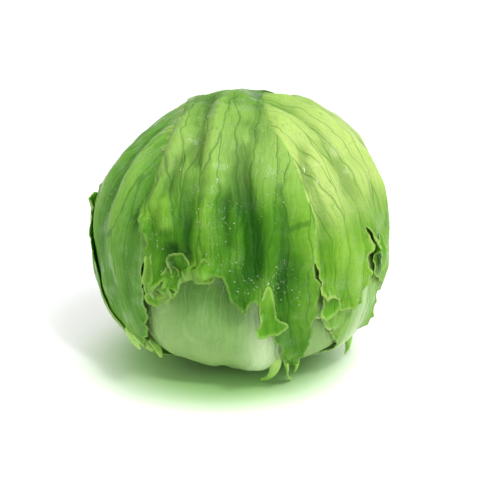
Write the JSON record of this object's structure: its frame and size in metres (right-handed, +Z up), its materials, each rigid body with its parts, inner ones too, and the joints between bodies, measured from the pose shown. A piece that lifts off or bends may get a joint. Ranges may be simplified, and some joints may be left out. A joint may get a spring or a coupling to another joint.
{
  "type": "head of lettuce",
  "caption": "Round, wet head of crisphead lettuce standing on its cut stem, green wrapper leaves draped over the crown and torn open over a pale leaf.",
  "frame": {"origin": "centre of the stem's cut face, which stands on the table", "axes": "+Z up the stem to the crown; -Y the front, where the wrapper leaves part over the pale head leaf; +X to the right seen from the front"},
  "size_m": [0.153, 0.1473, 0.1406],
  "materials": {
    "stem_core": "moist cut face",
    "heart_leaves": "waxy",
    "inner_leaf": "waxy",
    "head_leaf": "waxy, wet",
    "wrapper_leaf": "waxy, wet"
  },
  "bodies": {
    "root": {"stem": "stem_core", "heart": "heart_leaves", "inner_leaf_01": "inner_leaf", "inner_leaf_02": "inner_leaf", "inner_leaf_03": "inner_leaf", "inner_leaf_04": "inner_leaf", "inner_leaf_05": "inner_leaf", "inner_leaf_06": "inner_leaf", "head_leaf_front": "head_leaf", "head_leaf_back": "head_leaf", "head_leaf_left": "head_leaf", "head_leaf_right": "head_leaf", "cap_leaf_front": "wrapper_leaf", "cap_leaf_left": "wrapper_leaf", "cap_leaf_right": "wrapper_leaf", "side_leaf_right": "wrapper_leaf", "wrapper_leaf_left": "wrapper_leaf", "wrapper_leaf_right": "wrapper_leaf"}
  },
  "joints": []
}
